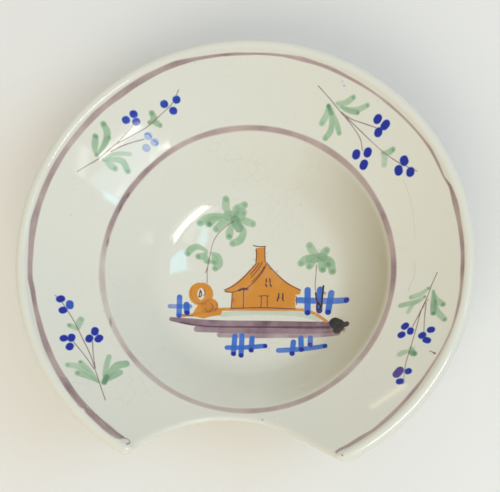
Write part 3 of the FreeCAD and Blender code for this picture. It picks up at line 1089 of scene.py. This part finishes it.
# %% Build the tree: a slow sag and faint finger rings, both fading out towards the foot
place = node(thrown, "GeometryNodeInputPosition").outputs[0]
split = node(thrown, "ShaderNodeSeparateXYZ", {0: place}).outputs
flat_place = node(thrown, "ShaderNodeCombineXYZ", {0: split[0], 1: split[1]}).outputs[0]
off_axis = node(thrown, "ShaderNodeVectorMath", {0: flat_place}, operation="LENGTH").outputs["Value"]
above_foot = ramp(thrown, split[2], 0.003, 0.03)
sag = node(thrown, "ShaderNodeTexNoise", {
    "Vector": flat_place, "W": given["Seed"], "Detail": 1.0,
    "Scale": computed(thrown, "DIVIDE", 1.0, given["Warp Size"]),
}, noise_dimensions="4D").outputs[0]
sag = product(thrown, computed(thrown, "SUBTRACT", sag, 0.5), given["Warp"], 2.0, above_foot)
beat = computed(thrown, "DIVIDE", off_axis, given["Ring Spacing"])
rings = computed(thrown, "SINE", product(thrown, beat, full))
in_well = ramp(thrown, off_axis, 0.095, 0.080)
rings = product(thrown, rings, given["Ring Depth"], in_well, above_foot)
lift = node(thrown, "ShaderNodeCombineXYZ", {2: computed(thrown, "ADD", sag, rings)}).outputs[0]
moved = node(thrown, "GeometryNodeSetPosition", {"Geometry": given["Bowl"], "Offset": lift})
smooth = node(thrown, "GeometryNodeSetShadeSmooth", {"Geometry": moved.outputs[0]})
real = node(thrown, "GeometryNodeRealizeInstances", {"Geometry": smooth.outputs[0]})
coated = node(thrown, "GeometryNodeSetMaterial", {
    "Geometry": real.outputs[0], "Material": given["Finish"],
})
node(thrown, "NodeGroupOutput", {0: coated.outputs[0]})
print("hand-thrown tree has", len(thrown.nodes), "nodes")

# %% [markdown]
# ## Glaze and pigment
#
# Tin glaze is a glossy, milky glass. The pigments sank into it in the fire, so they share its
# gloss and change only its colour. One small group of nodes lays a pigment: thin strokes wash
# the glaze, and pooled ones go on to a deeper colour. The same group is used for every pigment.

# %% Helpers for colours
def mixed(tree, amount, first, second):
    """Colour between two colours or sockets."""
    made = node(tree, "ShaderNodeMix", {0: amount, 6: first, 7: second},
                data_type="RGBA", clamp_factor=True)
    return made.outputs[2]


def rgb(red, green, blue):
    """A colour as it shows on a screen, from 0 to 255, in the numbers that Blender mixes."""
    shown = np.array([red, green, blue]) / 255
    linear = np.where(shown <= 0.04045, shown / 12.92, ((shown + 0.055) / 1.055) ** 2.4)
    return (*linear.tolist(), 1.0)


# %% Build the group that lays a pigment
laid = bpy.data.node_groups.new("laid pigment", "ShaderNodeTree")
new_input(laid, "Ground", "NodeSocketColor")
new_input(laid, "Amount", "NodeSocketFloat", 0.0)
new_input(laid, "Washed", "NodeSocketColor")
new_input(laid, "Pooled", "NodeSocketColor")
new_output(laid, "Color", "NodeSocketColor")
asked = node(laid, "NodeGroupInput").outputs
washed = mixed(laid, asked["Amount"], asked["Ground"], asked["Washed"])
pooled = computed(laid, "SUBTRACT", asked["Amount"], 1.0)
node(laid, "NodeGroupOutput", {0: mixed(laid, pooled, washed, asked["Pooled"])})
print("pigment group has", len(laid.nodes), "nodes")

# %% Mix the glaze, with painted shade on the well's right side, darker and yellower
glaze = bpy.data.materials.new("painted_tin_glaze")
glaze.use_nodes = True
paint = glaze.node_tree
paint.nodes.clear()
object_place = node(paint, "ShaderNodeTexCoord").outputs["Object"]


def noise(scale, detail):
    """A cloudy pattern over the glaze."""
    return node(paint, "ShaderNodeTexNoise", {
        "Vector": object_place, "Scale": scale, "Detail": detail,
    }).outputs[0]


ground = mixed(paint, noise(14.0, 3.0), rgb(226, 221, 201), rgb(219, 217, 200))
at = node(paint, "ShaderNodeSeparateXYZ", {0: object_place}).outputs
squares = computed(paint, "ADD", product(paint, at[0], at[0]), product(paint, at[1], at[1]))
out = computed(paint, "SQRT", squares)
# Painted shade: a darker, yellower colour on the well's right wall stands in for the shade that falls there
rightwards = computed(paint, "SUBTRACT", at[0], product(paint, at[1], 0.09))
painted_shade_side = ramp(paint, computed(paint, "DIVIDE", rightwards, out), 0.25, 1.0)
painted_shade_down = ramp(paint, out, 0.055, 0.085)
painted_shade_end = ramp(paint, out, 0.093, 0.087)
ground = mixed(paint, product(paint, painted_shade_side, painted_shade_down, painted_shade_end), ground, rgb(181, 172, 144))
print("glaze so far has", len(paint.nodes), "nodes")

# %% Lay the pigments over it, each with its washed colour, pooled colour and unevenness
streak = noise(70.0, 4.0)
palette = {
    "manganese": (rgb(182, 160, 150), rgb(108, 86, 94), 0.20),
    "plum": (rgb(160, 134, 138), rgb(90, 62, 70), 0.34),
    "green": (rgb(160, 187, 150), rgb(102, 142, 106), 0.22),
    "stalk": (rgb(124, 88, 84), rgb(60, 44, 48), 0.3),
    "orange": (rgb(212, 138, 46), rgb(182, 102, 30), 0.10),
    "blue": (rgb(62, 112, 194), rgb(22, 34, 142), 0.14),
    "violet": (rgb(84, 58, 132), rgb(60, 40, 110), 0.1),
    "ink": (rgb(112, 72, 70), rgb(40, 34, 38), 0.2),
}
for name, (washed, pooled, unevenness) in palette.items():
    amount = node(paint, "ShaderNodeAttribute", attribute_name=name).outputs["Fac"]
    load = ramp(paint, streak, 0.3, 0.7, 1 - unevenness, 1 + unevenness)
    ground = node(paint, "ShaderNodeGroup", {
        "Ground": ground, "Amount": product(paint, amount, load), "Washed": washed, "Pooled": pooled,
    }, node_tree=laid).outputs[0]
print(len(palette), "pigments laid over the glaze")

# %% [markdown]
# ## Age and wear
#
# Glaze shrinks more than the clay under it, so with the years it breaks into a net of fine
# cracks, which take up dirt. Here and there a bubble has left a pinhole. The foot's edge was wiped
# clean of glaze before firing, so that the bowl wouldn't stick, and it shows the matt clay.

# %% Add crackle, pinholes and the bare foot
crack_edges = node(paint, "ShaderNodeTexVoronoi", {"Vector": object_place, "Scale": 120.0},
                   feature="DISTANCE_TO_EDGE").outputs["Distance"]
crackle = ramp(paint, crack_edges, 0.03, 0.0)
patches = ramp(paint, noise(22.0, 2.0), 0.52, 0.75, 0.0, 0.16)
ground = mixed(paint, product(paint, crackle, patches), ground, rgb(150, 128, 112))
bubbles = node(paint, "ShaderNodeTexVoronoi", {"Vector": object_place, "Scale": 75.0})
pinholes = ramp(paint, bubbles.outputs["Distance"], 0.045, 0.02, 0.0, 0.45)
ground = mixed(paint, pinholes, ground, rgb(120, 100, 84))
bare = ramp(paint, at[2], 0.0006, 0.0003)
ground = mixed(paint, bare, ground, rgb(196, 164, 128))
roughness = ramp(paint, bare, 0.0, 1.0, 0.06, 0.85)
shader = node(paint, "ShaderNodeBsdfPrincipled", {"Base Color": ground, "Roughness": roughness, "IOR": 1.5})
node(paint, "ShaderNodeOutputMaterial", {0: shader.outputs[0]})
print("painted glaze has", len(paint.nodes), "nodes")

# %% [markdown]
# ## The finished bowl
#
# The tree is run once and its result is kept as a plain mesh, which rides on the model's only
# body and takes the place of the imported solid.

# %% Run the tree and keep the result
bowl = bpy.data.objects.new("painted_basin", skin)
bpy.context.scene.collection.objects.link(bowl)
skin.materials.append(glaze)
turning_stage = bowl.modifiers.new("hand thrown", "NODES")
turning_stage.node_group = thrown
for item in thrown.interface.items_tree:
    if item.item_type == "SOCKET" and item.in_out == "INPUT" and item.name == "Finish":
        turning_stage[item.identifier] = glaze
seen = bowl.evaluated_get(bpy.context.evaluated_depsgraph_get())
finished = bpy.data.meshes.new_from_object(seen)
finished.name = "painted_basin"
bowl.modifiers.clear()
bowl.data = finished
bpy.data.meshes.remove(skin)
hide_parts("basin")
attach(bowl, "root")
print("bowl has", len(finished.vertices), "points and", len(finished.polygons), "faces")

# %% [markdown]
# ## Light and table
#
# A mirror sends the eye's ray on to whatever it shows. So the way to the window that shines on
# the upper left of the bowl isn't guessed: the ray that hits the glaze at a bright patch is
# turned by the slope there. The window has a bright sill with a faint strip under it, a bright
# pane between two paler ones, and patches of blue sky beside it; a dim strip stands on the far
# side. The glaze mirrors those lamps, and they light nothing. Four broad soft lamps that it
# doesn't mirror, and a pale even sky, give the light that the colours are seen by.

# %% Find the window by its reflection
def mirrored(px, py):
    """Bearing and elevation, in degrees, of what a mirror would show at this pixel."""
    spot = on_glaze(px, py)
    radius = math.hypot(spot.x, spot.y)
    slope = float(upper.slope_at(radius))
    normal = Vector((-slope * spot.x / radius, -slope * spot.y / radius, 1)).normalized()
    seen_from = (eye - spot).normalized()
    way = 2 * normal.dot(seen_from) * normal - seen_from
    return math.degrees(math.atan2(way.y, way.x)), math.degrees(math.asin(way.z))


for name, pixel in (("sill", (119, 141)), ("pane", (150, 142)), ("sky", (178, 262))):
    print(name, "is seen towards bearing %.0f, elevation %.0f" % mirrored(*pixel))

# %% A lamp that is either mirrored or gives light
bright_patch = Vector((-70, 55, 45))
lamp_distance = 2000


def softbox(name, bearing_angle, elevation_angle, size, watts, colour, mirrors=True, tilt=0.0):
    """A soft lamp, this many metres wide and tall, that is only mirrored or only gives light."""
    b, e = math.radians(bearing_angle), math.radians(elevation_angle)
    way = Vector((math.cos(b) * math.cos(e), math.sin(b) * math.cos(e), math.sin(e)))
    data = bpy.data.lights.new(name, "AREA")
    data.shape = "RECTANGLE"
    data.size, data.size_y = size
    data.energy = watts
    data.color = colour
    lamp = bpy.data.objects.new(name, data)
    bpy.context.scene.collection.objects.link(lamp)
    lamp.location = (bright_patch + way * lamp_distance) * mm
    lamp.rotation_mode = "QUATERNION"
    turn_about = Quaternion((0, 0, 1), math.radians(tilt))
    lamp.rotation_quaternion = way.to_track_quat("Z", "Y") @ turn_about
    lamp.visible_glossy = mirrors
    lamp.visible_diffuse = not mirrors
    return lamp


# %% Hang the lamps
warm, cool, white = (1.0, 0.97, 0.92), (0.2, 0.8, 1.0), (1.0, 1.0, 0.98)
window = softbox("window_sill", -31, 45.0, (0.56, 0.015), 0.56, warm, tilt=-11)
softbox("window_low", -16, 40.8, (0.26, 0.05), 0.12, warm)
softbox("window_pane_low", -26, 47.5, (0.84, 0.16), 0.95, (0.55, 0.82, 1.0), tilt=-11)
softbox("window_pane_bright", -27, 56.3, (0.84, 0.46), 12.4, warm, tilt=-11)
softbox("window_pane_high", -27, 69, (0.66, 0.26), 0.8, white)
softbox("window_sky", 18, 64, (0.25, 0.36), 1.5, cool)
softbox("window_sky_high", -12, 75, (0.24, 0.10), 0.35, cool)
softbox("window_sky_low", -9, 45.8, (0.07, 0.09), 0.12, cool)
softbox("far_strip", 130, 18.1, (0.28, 0.022), 0.10, (1.0, 0.8, 0.55))
softbox("soft_key", -90, 50, (1.2, 1.0), 14.5, (1.0, 0.98, 0.94), mirrors=False)
softbox("soft_window", -25, 52, (1.2, 1.0), 3.0, (0.7, 0.85, 1.0), mirrors=False)
softbox("soft_fill", 3, 42, (1.0, 0.8), 9.0, (0.2, 0.5, 1.0), mirrors=False)
softbox("soft_wall", 75, 30, (1.2, 0.8), 3.5, (0.85, 0.9, 1.0), mirrors=False)
print("window sill hangs", round(window.location.length, 2), "m from the bowl")

# %% Set the sky and the table
bpy.context.scene.view_settings.view_transform = "Standard"
sky = bpy.data.worlds.new("soft_sky")
bpy.context.scene.world = sky
sky.use_nodes = True
sky.node_tree.nodes["Background"].inputs["Color"].default_value = (1.0, 0.98, 0.93, 1)
sky.node_tree.nodes["Background"].inputs["Strength"].default_value = 0.60

table_material = bpy.data.materials.new("pale_table")
table_material.use_nodes = True
table_nodes = table_material.node_tree
table_nodes.nodes["Principled BSDF"].inputs["Base Color"].default_value = rgb(236, 232, 222)
table_nodes.nodes["Principled BSDF"].inputs["Roughness"].default_value = 0.8
table_mesh = bpy.data.meshes.new("table_top")
half = 3
table_corners = [(-half, -half, 0), (half, -half, 0), (half, half, 0), (-half, half, 0)]
table_mesh.from_pydata(table_corners, [], [(0, 1, 2, 3)])
table_mesh.materials.append(table_material)
table = bpy.data.objects.new("table_top", table_mesh)
bpy.context.scene.collection.objects.link(table)
print("table is", table.dimensions.x, "m wide")
